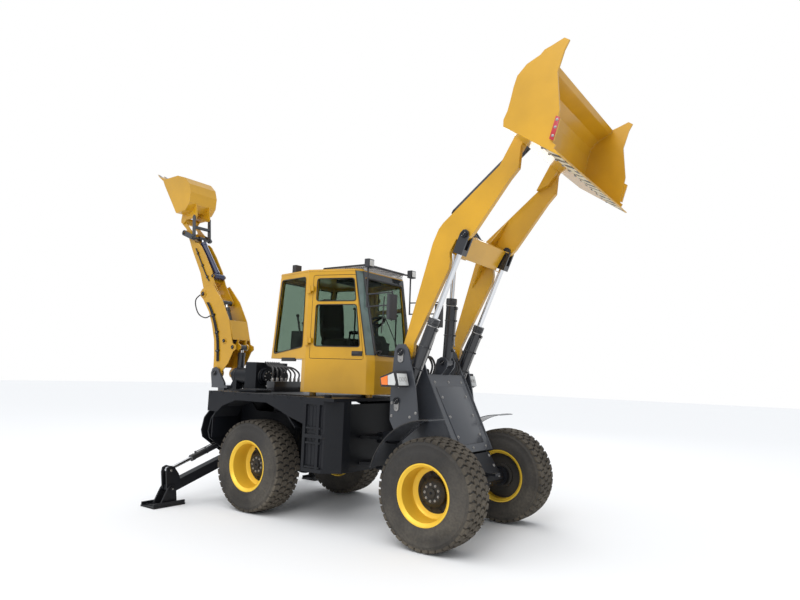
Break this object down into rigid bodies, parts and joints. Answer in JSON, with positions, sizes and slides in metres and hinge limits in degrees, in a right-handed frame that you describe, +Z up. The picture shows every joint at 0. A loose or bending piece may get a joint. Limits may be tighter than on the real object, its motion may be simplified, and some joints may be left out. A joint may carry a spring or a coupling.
{
  "type": "backhoe loader",
  "caption": "Articulated backhoe loader with a cab, a raised front bucket on parallel tilt linkage, a swinging rear digging arm and side stabilisers.",
  "frame": {"origin": "on the ground under the middle of the overall box, loader bucket at the front", "axes": "+X to the loader bucket, +Y to the machine's left, +Z up"},
  "size_m": [8.1487, 3.5, 5.375],
  "materials": {
    "yellow": "gloss",
    "rim_yellow": "satin",
    "black": "satin",
    "slate": "satin",
    "navy": "satin",
    "chrome": "polished",
    "tyre": "matte",
    "glass": "clear",
    "black_plastic": "matte",
    "seat_fabric": "matte"
  },
  "bodies": {
    "rear_frame": {"rear_chassis": "black", "engine_block": "black", "deck": "black", "side_boxes": "black", "hoe_carrier": "black", "slew_unit": "black", "cab_shell": "yellow", "cab_glass": "glass", "cab_fittings": "black_plastic", "seat": "seat_fabric", "controls": "black_plastic"},
    "front_frame": {"front_chassis": "black", "loader_tower": "slate", "headlamps": "black_plastic"},
    "wheel_front_right": {"rim_front_right": "rim_yellow", "tyre_front_right": "tyre"},
    "wheel_front_left": {"rim_front_left": "rim_yellow", "tyre_front_left": "tyre"},
    "wheel_rear_right": {"rim_rear_right": "rim_yellow", "tyre_rear_right": "tyre"},
    "wheel_rear_left": {"rim_rear_left": "rim_yellow", "tyre_rear_left": "tyre"},
    "cab_door_right": {"door_right": "yellow", "door_glass_right": "glass"},
    "cab_door_left": {"door_left": "yellow", "door_glass_left": "glass"},
    "arms": {"loader_arms": "yellow"},
    "lift_barrel_pair": {"lift_barrels": "black"},
    "lift_rod_pair": {"lift_rods": "chrome"},
    "tilt_cylinder": {"tilt_barrel": "black"},
    "tilt_piston": {"tilt_rod": "chrome"},
    "lever": {"tilt_lever": "black"},
    "link": {"tilt_link": "black"},
    "bucket": {"loader_bucket": "yellow"},
    "post": {"swing_post": "slate"},
    "hoe_boom": {"boom": "yellow"},
    "boom_cylinder": {"boom_barrel": "black"},
    "boom_piston": {"boom_rod": "chrome"},
    "hoe_dipper": {"dipper": "yellow"},
    "dipper_cylinder": {"dipper_barrel": "black"},
    "dipper_piston": {"dipper_rod": "chrome"},
    "curl_cylinder": {"curl_barrel": "navy"},
    "curl_piston": {"curl_rod": "chrome"},
    "rocker": {"hoe_rocker": "black"},
    "rocker_link": {"hoe_link": "black"},
    "digger": {"hoe_bucket": "yellow"},
    "stabiliser_right": {"leg_right": "black"},
    "stabiliser_cylinder_right": {"leg_barrel_right": "black"},
    "stabiliser_piston_right": {"leg_rod_right": "chrome"},
    "foot_right": {"pad_right": "black"},
    "stabiliser_left": {"leg_left": "black"},
    "stabiliser_cylinder_left": {"leg_barrel_left": "black"},
    "stabiliser_piston_left": {"leg_rod_left": "chrome"},
    "foot_left": {"pad_left": "black"}
  },
  "joints": [
    {"name": "steer", "type": "hinge", "parent": "rear_frame", "child": "front_frame", "pos_m": [1.1256, 0, 0.83], "axis": [0, 0, 1], "range_deg": [-35, 35]},
    {"name": "spin_front_right", "type": "hinge", "parent": "front_frame", "child": "wheel_front_right", "pos_m": [2.4756, -0.9, 0.59], "axis": [0, 1, 0], "continuous": true},
    {"name": "spin_rear_right", "type": "hinge", "parent": "rear_frame", "child": "wheel_rear_right", "pos_m": [-0.2444, -0.9, 0.59], "axis": [0, 1, 0], "continuous": true},
    {"name": "spin_front_left", "type": "hinge", "parent": "front_frame", "child": "wheel_front_left", "pos_m": [2.4756, 0.9, 0.59], "axis": [0, 1, 0], "continuous": true},
    {"name": "spin_rear_left", "type": "hinge", "parent": "rear_frame", "child": "wheel_rear_left", "pos_m": [-0.2444, 0.9, 0.59], "axis": [0, 1, 0], "continuous": true},
    {"name": "door_right_swing", "type": "hinge", "parent": "rear_frame", "child": "cab_door_right", "pos_m": [0.3836, -0.746, 2], "axis": [0, 0, -1], "range_deg": [0, 80]},
    {"name": "door_left_swing", "type": "hinge", "parent": "rear_frame", "child": "cab_door_left", "pos_m": [0.3836, 0.746, 2], "axis": [0, 0, 1], "range_deg": [0, 80]},
    {"name": "lift", "type": "hinge", "parent": "front_frame", "child": "arms", "pos_m": [1.8636, 0, 2.101], "axis": [0, -1, 0], "range_deg": [-97, 0]},
    {"name": "lift_barrel_swing", "type": "hinge", "parent": "front_frame", "child": "lift_barrel_pair", "pos_m": [1.8256, 0, 1.527], "axis": [0, -1, 0], "range_deg": [-79.01, 0]},
    {"name": "lift_rod_slide", "type": "slide", "parent": "lift_barrel_pair", "child": "lift_rod_pair", "axis": [0.3875, 0, 0.9219], "range_m": [-0.7197, 0]},
    {"name": "bucket_tilt", "type": "hinge", "parent": "arms", "child": "bucket", "pos_m": [3.32559, 0, 4.58], "axis": [0, -1, 0], "range_deg": [-8, 150]},
    {"name": "tilt_barrel_swing", "type": "hinge", "parent": "front_frame", "child": "tilt_cylinder", "pos_m": [2.0846, 0, 2], "axis": [0, -1, 0], "range_deg": [-103.06, 0]},
    {"name": "tilt_rod_slide", "type": "slide", "parent": "tilt_cylinder", "child": "tilt_piston", "axis": [0.0583, 0, 0.9983], "range_m": [-0.6157, 0.0333]},
    {"name": "tilt_lever_swing", "type": "hinge", "parent": "arms", "child": "lever", "pos_m": [2.4756, 0, 3.5], "axis": [0, -1, 0], "range_deg": [-4.37, 81.05]},
    {"name": "tilt_link_swing", "type": "hinge", "parent": "lever", "child": "link", "pos_m": [2.1956, 0, 3.9], "axis": [0, -1, 0], "range_deg": [-75.05, 4.05]},
    {"name": "swing", "type": "hinge", "parent": "rear_frame", "child": "post", "pos_m": [-1.8844, 0, 1.32], "axis": [0, 0, 1], "range_deg": [-60, 60]},
    {"name": "boom_raise", "type": "hinge", "parent": "post", "child": "hoe_boom", "pos_m": [-2.0944, 0, 1.76], "axis": [0, -1, 0], "range_deg": [0, 90]},
    {"name": "boom_barrel_swing", "type": "hinge", "parent": "post", "child": "boom_cylinder", "pos_m": [-1.7644, 0, 1.64], "axis": [0, -1, 0], "range_deg": [0, 61.07]},
    {"name": "boom_rod_slide", "type": "slide", "parent": "boom_cylinder", "child": "boom_piston", "axis": [0.0185, 0, 0.9998], "range_m": [0, 0.3729]},
    {"name": "dipper_swing", "type": "hinge", "parent": "hoe_boom", "child": "hoe_dipper", "pos_m": [-2.57713, 0, 3.07201], "axis": [0, -1, 0], "range_deg": [0, 80]},
    {"name": "dipper_barrel_swing", "type": "hinge", "parent": "hoe_boom", "child": "dipper_cylinder", "pos_m": [-1.9644, 0, 2.28], "axis": [0, -1, 0], "range_deg": [-5.49, 0]},
    {"name": "dipper_rod_slide", "type": "slide", "parent": "dipper_cylinder", "child": "dipper_piston", "axis": [-0.38, 0, 0.925], "range_m": [0, 0.4708]},
    {"name": "digger_curl", "type": "hinge", "parent": "hoe_dipper", "child": "digger", "pos_m": [-3.3744, 0, 4.44], "axis": [0, -1, 0], "range_deg": [0, 110]},
    {"name": "curl_barrel_swing", "type": "hinge", "parent": "hoe_dipper", "child": "curl_cylinder", "pos_m": [-2.4694, 0, 3.385], "axis": [0, -1, 0], "range_deg": [-5.88, 0]},
    {"name": "curl_rod_slide", "type": "slide", "parent": "curl_cylinder", "child": "curl_piston", "axis": [-0.6045, 0, 0.7966], "range_m": [0, 0.4227]},
    {"name": "rocker_swing", "type": "hinge", "parent": "hoe_dipper", "child": "rocker", "pos_m": [-3.2644, 0, 4.2], "axis": [0, -1, 0], "range_deg": [0, 106.64]},
    {"name": "rocker_link_swing", "type": "hinge", "parent": "rocker", "child": "rocker_link", "pos_m": [-3.0044, 0, 4.09], "axis": [0, -1, 0], "range_deg": [-64.73, 0]},
    {"name": "leg_raise_right", "type": "hinge", "parent": "rear_frame", "child": "stabiliser_right", "pos_m": [-1.3544, -0.3, 0.6], "axis": [-1, 0, 0], "range_deg": [0, 70]},
    {"name": "leg_barrel_swing_right", "type": "hinge", "parent": "rear_frame", "child": "stabiliser_cylinder_right", "pos_m": [-1.3544, -0.345, 0.85], "axis": [-1, 0, 0], "range_deg": [0, 76]},
    {"name": "leg_rod_slide_right", "type": "slide", "parent": "stabiliser_cylinder_right", "child": "stabiliser_piston_right", "axis": [0, -0.9444, -0.3287], "range_m": [-0.2755, 0]},
    {"name": "pad_level_right", "type": "hinge", "parent": "stabiliser_right", "child": "foot_right", "pos_m": [-1.3544, -1.46, 0.215], "axis": [-1, 0, 0], "range_deg": [-49.05, 0]},
    {"name": "leg_raise_left", "type": "hinge", "parent": "rear_frame", "child": "stabiliser_left", "pos_m": [-1.3544, 0.3, 0.6], "axis": [1, 0, 0], "range_deg": [0, 70]},
    {"name": "leg_barrel_swing_left", "type": "hinge", "parent": "rear_frame", "child": "stabiliser_cylinder_left", "pos_m": [-1.3544, 0.345, 0.85], "axis": [1, 0, 0], "range_deg": [0, 76]},
    {"name": "leg_rod_slide_left", "type": "slide", "parent": "stabiliser_cylinder_left", "child": "stabiliser_piston_left", "axis": [0, 0.9444, -0.3287], "range_m": [-0.2755, 0]},
    {"name": "pad_level_left", "type": "hinge", "parent": "stabiliser_left", "child": "foot_left", "pos_m": [-1.3544, 1.46, 0.215], "axis": [1, 0, 0], "range_deg": [-49.05, 0]}
  ],
  "couplings": [
    {"joint": "lift_barrel_swing", "follows": "lift", "ratio": 0.814},
    {"joint": "lift_rod_slide", "follows": "lift", "m_per_rad": 0.4248},
    {"joint": "tilt_barrel_swing", "follows": "lift", "ratio": 1.062},
    {"joint": "tilt_rod_slide", "follows": "bucket_tilt", "m_per_rad": -0.235},
    {"joint": "tilt_lever_swing", "follows": "bucket_tilt", "ratio": 0.54},
    {"joint": "tilt_link_swing", "follows": "bucket_tilt", "ratio": -0.5},
    {"joint": "boom_barrel_swing", "follows": "boom_raise", "ratio": 0.678},
    {"joint": "boom_rod_slide", "follows": "boom_raise", "m_per_rad": 0.2371},
    {"joint": "dipper_barrel_swing", "follows": "dipper_swing", "ratio": -0.068},
    {"joint": "dipper_rod_slide", "follows": "dipper_swing", "m_per_rad": 0.3368},
    {"joint": "curl_barrel_swing", "follows": "digger_curl", "ratio": -0.053},
    {"joint": "curl_rod_slide", "follows": "digger_curl", "m_per_rad": 0.2199},
    {"joint": "rocker_swing", "follows": "digger_curl", "ratio": 0.969},
    {"joint": "rocker_link_swing", "follows": "digger_curl", "ratio": -0.588},
    {"joint": "leg_barrel_swing_right", "follows": "leg_raise_right", "ratio": 1.085},
    {"joint": "leg_rod_slide_right", "follows": "leg_raise_right", "m_per_rad": -0.2251},
    {"joint": "pad_level_right", "follows": "leg_raise_right", "ratio": -0.7},
    {"joint": "leg_barrel_swing_left", "follows": "leg_raise_left", "ratio": 1.085},
    {"joint": "leg_rod_slide_left", "follows": "leg_raise_left", "m_per_rad": -0.2251},
    {"joint": "pad_level_left", "follows": "leg_raise_left", "ratio": -0.7}
  ]
}
